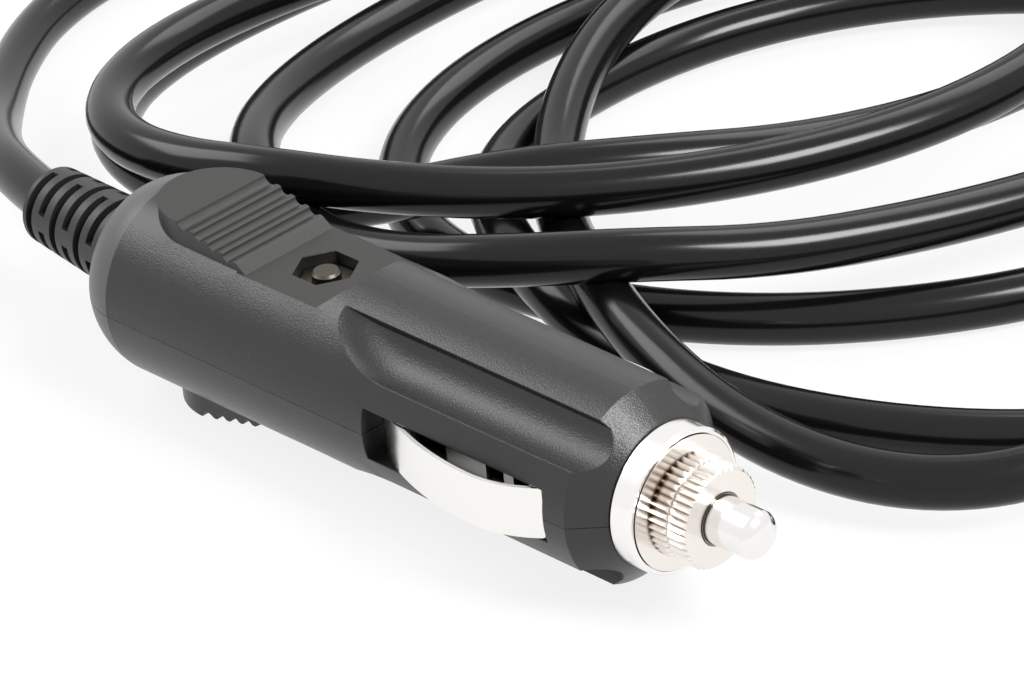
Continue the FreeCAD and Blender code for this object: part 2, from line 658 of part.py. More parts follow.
def contact_spring():
    """The coil spring between the fuse's front cap and the pin's flange."""
    rear = FUSE_FRONT + SPRING_GAP
    front = pin_flange_front() - PIN_FLANGE_WIDTH - SPRING_GAP
    height = front - rear - 2 * SPRING_WIRE_RADIUS
    helix = Part.makeHelix(height / SPRING_TURNS, height, SPRING_MEAN_RADIUS)
    start = Vector(SPRING_MEAN_RADIUS, 0, 0)
    around = [math.radians(45 * side) for side in range(9)]
    rim = [start + Vector(math.cos(a), 0, math.sin(a)) * SPRING_WIRE_RADIUS for a in around]
    wire = Part.makePolygon(rim)
    spring = Part.Wire(helix).makePipeShell([wire], True, True)
    spring.rotate(Vector(0, 0, 0), Vector(0, 1, 0), 90)
    spring.translate(Vector(rear + SPRING_WIRE_RADIUS, 0, 0))
    return spring


def fuse_cap(x0, x1, open_rear):
    shell = cylinder_x(FUSE_RADIUS, x0, x1)
    inner = FUSE_RADIUS - FUSE_CAP_WALL
    if open_rear:
        return shell.cut(cylinder_x(inner, x0, x1 - FUSE_CAP_WALL))
    return shell.cut(cylinder_x(inner, x0 + FUSE_CAP_WALL, x1))


def fuse_glass():
    outer = FUSE_RADIUS - FUSE_CAP_WALL - FUSE_GLASS_CLEARANCE
    rear = FUSE_REAR + FUSE_CAP_WALL + SEAT_GAP
    front = FUSE_FRONT - FUSE_CAP_WALL - SEAT_GAP
    glass = cylinder_x(outer, rear, front)
    return glass.cut(cylinder_x(outer - FUSE_GLASS_WALL, rear, front))


def fuse_element():
    inside = FUSE_CAP_WALL
    return cylinder_x(FUSE_ELEMENT_RADIUS, FUSE_REAR + inside, FUSE_FRONT - inside)


def terminal_front():
    return FUSE_REAR - SEAT_GAP


def sleeve_rear():
    return terminal_front() - SLEEVE_TAIL - SLEEVE_REAR_WALL


def fuse_sleeve():
    rear = sleeve_rear()
    sleeve = cylinder_x(SLEEVE_RADIUS, rear, SLEEVE_FRONT)
    sleeve = sleeve.cut(cylinder_x(SLEEVE_BORE_RADIUS, rear + SLEEVE_REAR_WALL, SLEEVE_FRONT))
    return sleeve.cut(cylinder_x(TERMINAL_STEM_RADIUS + FIT, rear, SLEEVE_FRONT))


def tag_front():
    return sleeve_rear() - SEAT_GAP


def rear_terminal():
    """Disc behind the fuse, stem through the sleeve and a tag for the wire."""
    front = terminal_front()
    disc = cylinder_x(SLEEVE_BORE_RADIUS - 2 * FIT, front - TERMINAL_DISC_WIDTH, front)
    stem = cylinder_x(TERMINAL_STEM_RADIUS, tag_front(), front)
    half = TERMINAL_TAG_HALF_HEIGHT
    tag = block(tag_front() - TERMINAL_TAG_WIDTH, tag_front(), -half, TERMINAL_TAG_REACH, -half, half)
    return disc.fuse(stem).fuse(tag)


def arc_radius(run, drop):
    """Radius of an arc that starts level and falls by drop over run."""
    return (run ** 2 + drop ** 2) / (2 * drop)


def leaf_curve(offset):
    """Rear and front arcs of a side contact, level where they meet."""
    crown = Vector(LEAF_CROWN_X, LEAF_CROWN_Y - offset, 0)
    arcs = []
    for end_x, end_y in ((LEAF_REAR_X, LEAF_REAR_Y), (LEAF_FRONT_X, LEAF_FRONT_Y)):
        run = end_x - LEAF_CROWN_X
        radius = arc_radius(abs(run), LEAF_CROWN_Y - end_y)
        centre = Vector(LEAF_CROWN_X, LEAF_CROWN_Y - radius, 0)
        turn = math.asin(run / radius)
        inner = radius - offset
        middle = centre + Vector(inner * math.sin(turn / 2), inner * math.cos(turn / 2), 0)
        end = centre + Vector(inner * math.sin(turn), inner * math.cos(turn), 0)
        arcs.append((Part.Arc(end, middle, crown).toShape(), end))
    return arcs


def side_contact():
    """The far side's contact: an arched strip with a hooked foot at each end."""
    outer = leaf_curve(0)
    inner = leaf_curve(LEAF_THICKNESS)
    ends = [Part.LineSegment(outer[i][1], inner[i][1]).toShape() for i in (0, 1)]
    edges = [outer[0][0], outer[1][0], ends[0], ends[1], inner[0][0], inner[1][0]]
    arch = Part.Face(Part.Wire(Part.__sortEdges__(edges))).extrude(Vector(0, 0, 2 * LEAF_HALF_WIDTH))
    arch.translate(Vector(0, 0, -LEAF_HALF_WIDTH))
    ear_outer = STRIP_OUTER_Y - STRIP_THICKNESS - FOOT_EAR_GAP
    ear_inner = ear_outer - LEAF_THICKNESS
    ear_half = LEAF_HALF_WIDTH + FOOT_EAR_REACH
    leaf = arch
    feet = (
        (LEAF_REAR_X, LEAF_REAR_X + LEAF_THICKNESS, LEAF_REAR_Y - LEAF_THICKNESS / 2),
        (LEAF_FRONT_X - LEAF_THICKNESS, LEAF_FRONT_X, LEAF_FRONT_Y - LEAF_THICKNESS / 2),
    )
    for x0, x1, top in feet:
        leg = block(x0, x1, ear_inner, top, -LEAF_HALF_WIDTH, LEAF_HALF_WIDTH)
        ears = block(x0, x1, ear_inner, ear_outer, -ear_half, ear_half)
        leaf = leaf.fuse(leg).fuse(ears)
    return leaf.removeSplitter()


def contact_strip():
    """A U of sheet metal, with slots for the contacts' feet and a wire hole."""
    inner = STRIP_OUTER_Y - STRIP_THICKNESS
    leg = block(STRIP_BASE_X, STRIP_FRONT_X, inner, STRIP_OUTER_Y, -STRIP_HALF_WIDTH, STRIP_HALF_WIDTH)
    slot_half = LEAF_HALF_WIDTH + STRIP_SLOT_CLEARANCE
    slots = [
        (LEAF_REAR_X - STRIP_SLOT_MARGIN, LEAF_REAR_X + LEAF_THICKNESS + 2 * STRIP_SLOT_MARGIN, slot_half),
        (LEAF_FRONT_X - LEAF_THICKNESS - STRIP_SLOT_MARGIN, LEAF_FRONT_X + STRIP_SLOT_MARGIN, slot_half),
    ]
    slots += [
        (end_x + reach[0], end_x + reach[1], STRIP_HOLE_HALF_WIDTH)
        for end_x, reach in (
            (LEAF_REAR_X, STRIP_REAR_HOLE),
            (LEAF_FRONT_X, STRIP_MIDDLE_HOLE),
            (LEAF_FRONT_X, STRIP_FRONT_HOLE),
        )
    ]
    for x0, x1, half in slots:
        leg = leg.cut(block(x0, x1, inner - 1, STRIP_OUTER_Y + 1, -half, half))
    corner = block(
        STRIP_BASE_X, STRIP_BASE_X + STRIP_THICKNESS, 0, STRIP_OUTER_Y, -STRIP_BASE_HALF_WIDTH, STRIP_BASE_HALF_WIDTH
    )
    strip = both_sides(leg.fuse(corner))
    hole = cylinder_x(WIRE_RADIUS + WIRE_CLEARANCE, STRIP_BASE_X - 1, STRIP_BASE_X + 1, WIRE_OFFSET)
    return strip.cut(hole).removeSplitter()


def clamp_screw():
    """Pan head screw from below, its end just short of the upper facet."""
    shank_end = SCREW_TIP_Z - SCREW_TIP_EDGE
    shank = cylinder_z(SCREW_RADIUS, SCREW_SEAT_Z, shank_end, SCREW_X)
    end = Part.makeCone(
        SCREW_RADIUS, SCREW_RADIUS - SCREW_TIP_EDGE, SCREW_TIP_EDGE, Vector(SCREW_X, 0, shank_end), Vector(0, 0, 1)
    )
    head_low = SCREW_SEAT_Z - SCREW_HEAD_HEIGHT
    head = cylinder_z(SCREW_HEAD_RADIUS, head_low, SCREW_SEAT_Z, SCREW_X)
    long_half = SCREW_CROSS_LENGTH / 2
    thin_half = SCREW_CROSS_WIDTH / 2
    deep = head_low + SCREW_CROSS_DEPTH
    along = block(SCREW_X - long_half, SCREW_X + long_half, -thin_half, thin_half, head_low, deep)
    across = block(SCREW_X - thin_half, SCREW_X + thin_half, -long_half, long_half, head_low, deep)
    return head.fuse(shank).fuse(end).cut(along).cut(across)


def hex_nut():
    nut = hexagon(NUT_FLATS, NUT_SEAT_Z, NUT_SEAT_Z + NUT_HEIGHT, SCREW_X)
    return nut.cut(cylinder_z(SCREW_RADIUS + FIT / 2, 0, WIDE, SCREW_X))


def lean(shape):
    """Tip a shape about the middle of the body's rear face."""
    leaned = shape.copy()
    leaned.rotate(Vector(-BODY_LENGTH, 0, 0), Vector(0, 0, 1), -RELIEF_LEAN)
    return leaned


def relief_slots():
    """Rings of slots, each ring's two bridges a quarter turn from the last."""
    cuts = []
    for ring in range(RELIEF_SLOTS):
        middle = RELIEF_TAIL_LENGTH - RELIEF_SLOT_FIRST - ring * RELIEF_SLOT_PITCH
        x0 = -BODY_LENGTH - middle - RELIEF_SLOT_WIDTH / 2
        x1 = x0 + RELIEF_SLOT_WIDTH
        cut = cylinder_x(RELIEF_BASE_RADIUS + 1, x0, x1).cut(cylinder_x(RELIEF_SLOT_FLOOR, x0, x1))
        bridge = block(x0, x1, -RELIEF_BRIDGE / 2, RELIEF_BRIDGE / 2, -WIDE, WIDE)
        bridge.rotate(Vector(0, 0, 0), Vector(1, 0, 0), 90 * (ring % 2) + RELIEF_TWIST)
        cuts.append(cut.cut(bridge))
    return cuts[0].fuse(cuts[1:])


def relief_tail():
    far = -BODY_LENGTH - RELIEF_TAIL_LENGTH
    return turned([
        (-BODY_LENGTH + 1, 0.0),
        (-BODY_LENGTH + 1, RELIEF_BASE_RADIUS),
        (far + RELIEF_END_EDGE, RELIEF_END_RADIUS),
        (far, RELIEF_END_RADIUS - RELIEF_END_EDGE),
        (far, 0.0),
    ])


def strain_relief():
    """Moulded sleeve: flange and neck in the body, slotted tail outside."""
    wall_front = -BODY_LENGTH + RELIEF_WALL
    outside = block(-WIDE * 3, -BODY_LENGTH, -WIDE, WIDE, -WIDE, WIDE)
    tail = lean(relief_tail().cut(relief_slots())).common(outside)
    neck = cylinder_x(RELIEF_NECK_RADIUS, -BODY_LENGTH, wall_front)
    flange = cylinder_x(RELIEF_FLANGE_RADIUS, wall_front, wall_front + RELIEF_FLANGE_WIDTH)
    return tail.fuse(neck).fuse(flange).cut(cable_end()).removeSplitter()


def cable_end():
    """The cable's end, from inside the body to the strain relief's mouth."""
    inside = cylinder_x(CABLE_RADIUS, -BODY_LENGTH, CABLE_END_X)
    outside = lean(cylinder_x(CABLE_RADIUS, -BODY_LENGTH - RELIEF_TAIL_LENGTH, -BODY_LENGTH))
    knee = Part.makeSphere(CABLE_RADIUS, Vector(-BODY_LENGTH, 0, 0))
    return inside.fuse(outside).fuse(knee).removeSplitter()


def inner_wire(start_x, side):
    """An insulated wire from its solder joint to the cable's end."""
    route = [
        Vector(start_x, side * WIRE_OFFSET, 0),
        Vector(CABLE_END_X + WIRE_BEND_FAR, side * (WIRE_OFFSET + 0.2), 0),
        Vector(CABLE_END_X + WIRE_BEND_NEAR, side * 3.2, 0),
        Vector(CABLE_END_X, side * WIRE_IN_CABLE, 0),
    ]
    return tube(route, WIRE_RADIUS)[0].cut(cable_end())


def relief_mouth():
    """Middle of the strain relief's free end, in the part's own frame."""
    angle = math.radians(RELIEF_LEAN)
    away = RELIEF_TAIL_LENGTH * math.cos(angle)
    aside = RELIEF_TAIL_LENGTH * math.sin(angle)
    return Vector(NOSE_X - BODY_LENGTH - away, aside, PAD_HEIGHT)


def oval(turn, half_width_change, height):
    """An upright prism over one turn of the coil."""
    x, y, half_length, half_width, angle = turn
    ring = Part.Ellipse(Vector(0, 0, 0), half_length + half_width_change, half_width + half_width_change)
    prism = Part.Face(Part.Wire([ring.toShape()])).extrude(Vector(0, 0, height))
    prism.rotate(Vector(0, 0, 0), Vector(0, 0, 1), angle)
    prism.translate(Vector(x, y, 0))
    return prism


def cord_coil():
    """The outer shape of the loose turns, open where they all leave a space."""
    height = COIL_LAYERS * 2 * CABLE_RADIUS
    outer = [oval(turn, CABLE_RADIUS, height) for turn in TURNS]
    inner = [oval(turn, -CABLE_RADIUS, height) for turn in TURNS]
    middle = inner[0]
    for prism in inner[1:]:
        middle = middle.common(prism)
    return outer[0].fuse(outer[1:]).cut(middle).removeSplitter()


def jack_place(shape):
    """Set a piece of the barrel plug at the end of the tail, along its last run."""
    last = Vector(*TAIL_ROUTE[-1])
    run = last - Vector(*TAIL_ROUTE[-2])
    placed = shape.copy()
    placed.rotate(Vector(0, 0, 0), Vector(0, 0, 1), math.degrees(math.atan2(run.y, run.x)))
    placed.translate(Vector(last.x, last.y, JACK_BODY_RADIUS))
    return placed


def jack_body():
    """Moulded grip with ring grooves and a tapered tail for the cable."""
    body_rear = JACK_RELIEF_LENGTH
    body_front = body_rear + JACK_BODY_LENGTH
    body = turned([
        (0.0, 0.0),
        (0.0, JACK_RELIEF_RADIUS),
        (body_rear, JACK_RELIEF_RADIUS + 0.5),
        (body_rear + JACK_EDGE, JACK_BODY_RADIUS),
        (body_front - JACK_EDGE, JACK_BODY_RADIUS),
        (body_front, JACK_BODY_RADIUS - JACK_EDGE),
        (body_front, 0.0),
    ])
    for groove in range(JACK_GRIP_COUNT):
        x0 = body_rear + JACK_GRIP_FIRST + groove * JACK_GRIP_PITCH
        x1 = x0 + JACK_GRIP_WIDTH
        ring = cylinder_x(JACK_BODY_RADIUS + 1, x0, x1).cut(cylinder_x(JACK_BODY_RADIUS - JACK_GRIP_DEPTH, x0, x1))
        body = body.cut(ring)
    return body.cut(cylinder_x(BARREL_ROOT_RADIUS, body_front - BARREL_SEAT, body_front))


def jack_front():
    return JACK_RELIEF_LENGTH + JACK_BODY_LENGTH


def jack_barrel():
    rear = jack_front() - BARREL_SEAT
    front = jack_front() + BARREL_LENGTH
    barrel = cylinder_x(BARREL_ROOT_RADIUS, rear, front).fuse(cylinder_x(BARREL_RADIUS, jack_front(), front))
    return barrel.cut(cylinder_x(BARREL_RADIUS - BARREL_WALL, rear, front))


def jack_liner():
    rear = jack_front() - BARREL_SEAT
    front = jack_front() + BARREL_LENGTH
    outer = BARREL_RADIUS - BARREL_WALL
    liner = cylinder_x(outer, rear, front)
    return liner.cut(cylinder_x(outer - JACK_LINER_WALL, rear, front))


def jack_contact():
    rear = jack_front() - BARREL_SEAT
    front = jack_front() + BARREL_LENGTH - JACK_CONTACT_RECESS
    outer = BARREL_RADIUS - BARREL_WALL - JACK_LINER_WALL
    contact = cylinder_x(outer, rear, front)
    return contact.cut(cylinder_x(JACK_BORE_RADIUS, rear + 1, front))


def plug_pieces():
    """Every piece of the plug itself, drawn about its own axis."""
    upper, lower = shells()
    far_contact = side_contact()
    near_contact = far_contact.mirror(Vector(0, 0, 0), Vector(0, 1, 0))
    return {
        "upper_shell": upper,
        "lower_shell": lower,
        "nose_collar": nose_collar(),
        "knurled_cap": knurled_cap(),
        "centre_contact": centre_contact(),
        "contact_spring": contact_spring(),
        "fuse_front_cap": fuse_cap(FUSE_FRONT - FUSE_CAP_LENGTH, FUSE_FRONT, True),
        "fuse_glass": fuse_glass(),
        "fuse_element": fuse_element(),
        "fuse_rear_cap": fuse_cap(FUSE_REAR, FUSE_REAR + FUSE_CAP_LENGTH, False),
        "fuse_sleeve": fuse_sleeve(),
        "rear_terminal": rear_terminal(),
        "contact_strip": contact_strip(),
        "side_contact_left": far_contact,
        "side_contact_right": near_contact,
        "clamp_screw": clamp_screw(),
        "hex_nut": hex_nut(),
        "strain_relief": strain_relief(),
        "cable_end": cable_end(),
        "positive_wire": inner_wire(tag_front() - TERMINAL_TAG_WIDTH, 1),
        "negative_wire": inner_wire(STRIP_BASE_X, -1),
    }


def free_cable_pieces():
    """The free cable and the barrel plug on its far end, as they lie."""
    lead_points = [relief_mouth()] + [Vector(*point) for point in LEAD_ROUTE]
    tail_points = [Vector(*point) for point in TAIL_ROUTE]
    coil = cord_coil()
    pieces = {"cord_coil": coil}
    for name, points in (("cord_lead", lead_points), ("cord_tail", tail_points)):
        solid, length, radii = tube(points, CABLE_RADIUS)
        section = math.pi * CABLE_RADIUS ** 2
        print(name, "length", round(length, 1), "volume ratio", round(solid.Volume / (section * length), 4))
        print(name, "radii", [round(radius, 1) for radius in radii])
        pieces[name] = solid
    pieces["dc_plug_body"] = jack_place(jack_body())
    pieces["dc_plug_barrel"] = jack_place(jack_barrel())
    pieces["dc_plug_liner"] = jack_place(jack_liner())
    pieces["dc_plug_contact"] = jack_place(jack_contact())
    return pieces


def main():
    os.makedirs("parts", exist_ok=True)
    pieces = plug_pieces()
    for shape in pieces.values():
        shape.translate(Vector(NOSE_X, 0, PAD_HEIGHT))
    pieces.update(free_cable_pieces())
    for name, shape in pieces.items():
        solids = shape.Solids
        box = shape.BoundBox
        print(name, "solids", len(solids), "valid", shape.isValid(), "volume", round(shape.Volume, 2),
              "x", round(box.XMin, 2), round(box.XMax, 2), "y", round(box.YMin, 2), round(box.YMax, 2),
              "z", round(box.ZMin, 2), round(box.ZMax, 2))
        solid = solids[0] if len(solids) == 1 else shape
        solid.exportStep(os.path.join("parts", name + ".step"))
    print("nose face at x", round(NOSE_X, 3))


main()
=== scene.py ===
import math

import bpy
import numpy as np
from mathutils import Matrix, Vector

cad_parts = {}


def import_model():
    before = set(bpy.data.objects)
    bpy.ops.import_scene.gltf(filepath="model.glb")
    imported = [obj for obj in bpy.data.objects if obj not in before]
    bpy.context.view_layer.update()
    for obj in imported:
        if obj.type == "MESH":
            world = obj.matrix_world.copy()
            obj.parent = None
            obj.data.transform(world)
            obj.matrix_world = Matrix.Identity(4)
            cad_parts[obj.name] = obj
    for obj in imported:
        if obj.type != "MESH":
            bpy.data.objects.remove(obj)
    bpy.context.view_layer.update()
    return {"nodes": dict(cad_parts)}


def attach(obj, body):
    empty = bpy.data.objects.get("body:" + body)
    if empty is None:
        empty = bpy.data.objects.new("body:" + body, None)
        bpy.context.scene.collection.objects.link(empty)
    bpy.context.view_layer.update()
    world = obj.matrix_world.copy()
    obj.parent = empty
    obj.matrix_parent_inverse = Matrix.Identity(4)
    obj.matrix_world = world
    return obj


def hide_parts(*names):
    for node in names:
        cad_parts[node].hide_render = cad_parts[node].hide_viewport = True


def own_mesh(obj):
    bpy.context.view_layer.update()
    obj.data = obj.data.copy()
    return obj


# Lengths are written in millimetres and turned into metres here
MM = 0.001
PAD_HEIGHT = 11.4
NOSE_X = 38.771

# Where the half shells' smooth faces lie, in the plug's own axes
PAD_REAR = -67.1
FACET_REAR = -50.3
FACET_END = -38.5
PAD_SIDE = 6.2
PAD_LOW = 8.4
SHOULDER_FRONT = -67.5

PAD_MARGIN = 0.05
SIDE_MARGIN = 0.02
LEVEL_NORMAL = 0.97
SHOULDER_INSIDE = 8.0

# How deep the grain is in moulded plastic and in rolled metal
MOULDED_GRAIN = 0.04
ROLLED_GRAIN = 0.03

# Camera, at the photograph's angle
CAMERA_AZIMUTH = 47.73
CAMERA_ELEVATION = 30.55
CAMERA_ROLL = -5.40
CAMERA_PLACE = (0.305603, -0.259740, 0.248948)
CAMERA_LENS = 166.33

# Free cable: the route's first and last points, as in the part's source
CABLE_DIAMETER = 5.5
LEAD_ROUTE = (
    (-51.37, 1.436, 11.4),
    (-61.30, 4.20, 10.6),
    (-71.30, 9.50, 8.4),
    (-81.30, 17.50, 5.4),
    (-90.80, 27.00, 2.75),
    (-98.80, 38.50, 2.75),
    (-102.80, 52.00, 2.75),
    (-102.30, 66.50, 2.75),
    (-95.80, 80.50, 2.75),
    (-83.80, 92.00, 2.75),
    (-68.80, 98.50, 2.75),
)
TAIL_ROUTE = (
    (-9.30, 126.50, 8.0),
    (0.70, 133.00, 5.9),
    (12.70, 138.50, 5.2),
    (25.70, 141.00, 5.2),
)

# Loose turns: middle X and Y, half length, half width, angle, and how many
# cable widths off the floor each lies at its right, front, left and far side
TURNS = (
    (-3.0, 78.5, 53.7, 40.5, 55.1, 0.0, 0.0, 0.0, 0.0),
    (18.5, 73.4, 55.4, 47.2, 26.9, 0.0, 0.1, 0.0, 0.3),
    (11.4, 64.8, 57.7, 36.2, -38.4, 0.0, 0.2, 0.6, 1.0),
    (-17.6, 74.2, 60.6, 44.0, 82.2, 1.0, 1.2, 0.0, 0.3),
    (-34.6, 71.3, 59.1, 36.3, 60.1, 0.6, 1.0, 0.0, 0.6),
    (-27.7, 65.4, 58.8, 35.5, 60.1, 1.6, 2.0, 1.3, 1.2),
)
TURN_START = 143.0
TURN_STEP = 15.0
TURN_SIDES = (193.0, 250.0, 320.0, 383.0)
CHANGE_FROM = 383.0
CHANGE_TO = (553.0, 553.0, 535.0, 490.0, 515.0)
LAST_ANGLE = 2220.0

# How the turns settle on one another: pieces of each step between two points,
# cable between two stretches that can cross, passes, and each pass's shares
PIECES = 4
CROSSING_APART = 30
CLEARLY_HIGHER = 0.05
PASSES = 300
RISE_SHARE = 0.5
FALL_SHARE = 0.3
EVEN_SHARE = 0.12
RETURN_SHARE = 0.02
HELD_AT_START = 4


def make_camera():
    azimuth = math.radians(CAMERA_AZIMUTH)
    elevation = math.radians(CAMERA_ELEVATION)
    right = Vector((math.cos(azimuth), math.sin(azimuth), 0))
    back = Vector((
        math.sin(azimuth) * math.cos(elevation),
        -math.cos(azimuth) * math.cos(elevation),
        math.sin(elevation),
    ))
    turn = Matrix.Rotation(math.radians(CAMERA_ROLL), 3, back)
    right = turn @ right
    up = back.cross(right)
    axes = Matrix((right, up, back)).transposed().to_4x4()
    camera = bpy.data.objects.new("camera", bpy.data.cameras.new("camera"))
    bpy.context.scene.collection.objects.link(camera)
    camera.matrix_world = Matrix.Translation(CAMERA_PLACE) @ axes
    camera.data.sensor_width = 36
    camera.data.lens = CAMERA_LENS
    camera.data.clip_start = 0.01
    camera.data.clip_end = 20
    bpy.context.scene.camera = camera


def on_turn(turn, angle):
    """The point of a turn that lies at an angle round the coil."""
    x, y, half_length, half_width, lean = turn[:5]
    along = half_length * math.cos(math.radians(angle - lean))
    across = half_width * math.sin(math.radians(angle - lean))
    c, s = math.cos(math.radians(lean)), math.sin(math.radians(lean))
    return (x + along * c - across * s, y + along * s + across * c)


def coil_plan():
    """The coil's turns seen from above, each running on into the next."""
    points = []
    number = 0
    angle = TURN_STEP
    while angle <= LAST_ANGLE:
        if number < len(CHANGE_TO) and angle >= 360 * number + CHANGE_TO[number]:
            number += 1
        here = on_turn(TURNS[number], TURN_START - angle)
        into = angle - 360 * number - CHANGE_FROM
        if into > 0 and number < len(CHANGE_TO):
            there = on_turn(TURNS[number + 1], TURN_START - angle)
            share = into / (CHANGE_TO[number] - CHANGE_FROM)
            share = share * share * (3 - 2 * share)
            here = tuple(a + (b - a) * share for a, b in zip(here, there))
        points.append((here[0], here[1], layer_height(angle)))
        angle += TURN_STEP
    return points


def layer_height(angle):
    """How high the photograph shows the cable's middle at this angle."""
    angles = [0.0]
    layers = [0.0]
    for number, turn in enumerate(TURNS):
        angles += [360 * number + side for side in TURN_SIDES]
        layers += turn[5:]
    return CABLE_DIAMETER * (0.5 + float(np.interp(angle, angles, layers)))


def settle(route, held):
    """Lifts each stretch over what it crosses, and lets it down in between."""
    plan = np.array([point[:2] for point in route])
    wanted = np.array([point[2] for point in route])
    count = len(plan)
    free = np.array([index not in held for index in range(count)])
    run = np.repeat(np.arange(count - 1), PIECES)
    share = np.tile((np.arange(PIECES) + 0.5) / PIECES, count - 1)
    spots = plan[run] * (1 - share)[:, None] + plan[run + 1] * share[:, None]
    lengths = np.linalg.norm(np.diff(plan, axis=0), axis=1)
    along = np.concatenate([[0], np.cumsum(lengths)])[run] + share * lengths[run]
    apart = np.linalg.norm(spots[:, None] - spots[None], axis=2)
    later = along[None] - along[:, None] > CROSSING_APART
    first, second = np.where((apart < CABLE_DIAMETER) & later)
    gap = np.sqrt(CABLE_DIAMETER ** 2 - apart[first, second] ** 2)

    def height(index, level):
        return level[run[index]] * (1 - share[index]) + level[run[index] + 1] * share[index]

    first_over = height(first, wanted) > height(second, wanted) + CLEARLY_HIGHER
    over = np.where(first_over, first, second)
    under = np.where(first_over, second, first)
    level = wanted.copy()
    for _ in range(PASSES):
        short = np.clip(gap - height(over, level) + height(under, level), 0, None)
        rise = np.zeros(count)
        fall = np.zeros(count)
        for end in (0, 1):
            weight = share if end else 1 - share
            np.maximum.at(rise, run[over] + end, short * weight[over])
            np.maximum.at(fall, run[under] + end, short * weight[under])
        level = level + np.where(free, RISE_SHARE * rise - FALL_SHARE * fall, 0)
        even = level.copy()
        even[1:-1] = (level[:-2] + level[2:]) / 2
        moved = level + EVEN_SHARE * (even - level) + RETURN_SHARE * (wanted - level)
        level = np.where(free, moved, level)
        level = np.maximum(level, CABLE_DIAMETER / 2)
    return [(x, y, z) for (x, y), z in zip(plan, level)]


def make_cable(material):
    route = list(LEAD_ROUTE) + coil_plan() + list(TAIL_ROUTE)
    held = set(range(HELD_AT_START)) | {len(route) - 2, len(route) - 1}
    route = settle(route, held)
    curve = bpy.data.curves.new("cable", "CURVE")
    curve.dimensions = "3D"
    curve.bevel_depth = CABLE_DIAMETER / 2 * MM
    curve.bevel_resolution = 7
    curve.resolution_u = 6
    spline = curve.splines.new("NURBS")
    spline.points.add(len(route) - 1)
    for point, (x, y, z) in zip(spline.points, route):
        point.co = (x * MM, y * MM, z * MM, 1)
    spline.order_u = 3
    spline.use_endpoint_u = True
    cable = bpy.data.objects.new("cable", curve)
    bpy.context.scene.collection.objects.link(cable)
    cable.data.materials.append(material)
    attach(cable, "housing")
    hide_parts("cord_lead", "cord_coil", "cord_tail")


def make_spring(frame, material):
    """The contact's spring, as a copy of its mesh carried with the housing."""
    mesh = frame["nodes"]["contact_spring"].data.copy()
    mesh.materials.clear()
    mesh.materials.append(material)
    spring = bpy.data.objects.new("coil_spring", mesh)
    bpy.context.scene.collection.objects.link(spring)
    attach(spring, "housing")
    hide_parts("contact_spring")
    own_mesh(spring)


def new_material(name):
    material = bpy.data.materials.new(name)
    material.use_nodes = True
    return material, material.node_tree.nodes["Principled BSDF"]


def soften_edges(material, shader, radius):
    """Light catches the moulded edges as on a small rounding."""
    bevel = material.node_tree.nodes.new("ShaderNodeBevel")
    bevel.samples = 4
    bevel.inputs["Radius"].default_value = radius * MM
    material.node_tree.links.new(bevel.outputs["Normal"], shader.inputs["Normal"])
    return bevel


def add_bump(material, shader, scale, distance, strength, edge=0.0):
    """A fine all-over grain, in the object's own coordinates."""
    nodes = material.node_tree.nodes
    links = material.node_tree.links
    place = nodes.new("ShaderNodeTexCoord")
    noise = nodes.new("ShaderNodeTexNoise")
    noise.inputs["Scale"].default_value = scale
    noise.inputs["Detail"].default_value = 2.0
    bump = nodes.new("ShaderNodeBump")
    bump.inputs["Strength"].default_value = strength
    bump.inputs["Distance"].default_value = distance
    links.new(place.outputs["Object"], noise.inputs["Vector"])
    links.new(noise.outputs["Fac"], bump.inputs["Height"])
    if edge:
        bevel = soften_edges(material, shader, edge)
        links.new(bevel.outputs["Normal"], bump.inputs["Normal"])
    links.new(bump.outputs["Normal"], shader.inputs["Normal"])


def plastic(name, colour, roughness, grain=0.0, grain_size=0.35, edge=0.0, shine=0.5):
    material, shader = new_material(name)
    shader.inputs["Base Color"].default_value = (*colour, 1)
    shader.inputs["Roughness"].default_value = roughness
    shader.inputs["Specular IOR Level"].default_value = shine
    if grain:
        add_bump(material, shader, 1000 / grain_size, MOULDED_GRAIN * MM, grain, edge=edge)
    elif edge:
        soften_edges(material, shader, edge)
    return material


def metal(name, colour, roughness, grain=0.0, grain_size=0.5):
    material, shader = new_material(name)
    shader.inputs["Base Color"].default_value = (*colour, 1)
    shader.inputs["Metallic"].default_value = 1.0
    shader.inputs["Roughness"].default_value = roughness
    if grain:
        add_bump(material, shader, 1000 / grain_size, ROLLED_GRAIN * MM, grain)
    return material


def paint_crevice_shade(material, colour, reach, dark_at, bright_at):
    """Painted shade: a brown tone painted down in the corners and crevices, where shade falls, bright
    on the crests.
    """
    nodes = material.node_tree.nodes
    links = material.node_tree.links
    shader = nodes["Principled BSDF"]
    # Ambient occlusion decides where the painted shade goes
    hidden = nodes.new("ShaderNodeAmbientOcclusion")
    hidden.samples = 8
    hidden.inputs["Distance"].default_value = reach * MM
    ramp = nodes.new("ShaderNodeValToRGB")
    ramp.color_ramp.elements[0].position = dark_at
    ramp.color_ramp.elements[0].color = (*colour, 1)
    ramp.color_ramp.elements[1].position = bright_at
    ramp.color_ramp.elements[1].color = tuple(shader.inputs["Base Color"].default_value)
    links.new(hidden.outputs["AO"], ramp.inputs["Fac"])
    links.new(ramp.outputs["Color"], shader.inputs["Base Color"])


def clear_glass(name):
    material, shader = new_material(name)
    shader.inputs["Base Color"].default_value = (0.95, 0.97, 0.97, 1)
    shader.inputs["Roughness"].default_value = 0.05
    shader.inputs["Transmission Weight"].default_value = 1.0
    return material


def dress(frame, names, material):
    for name in names:
        mesh = frame["nodes"][name].data
        mesh.materials.clear()
        mesh.materials.append(material)


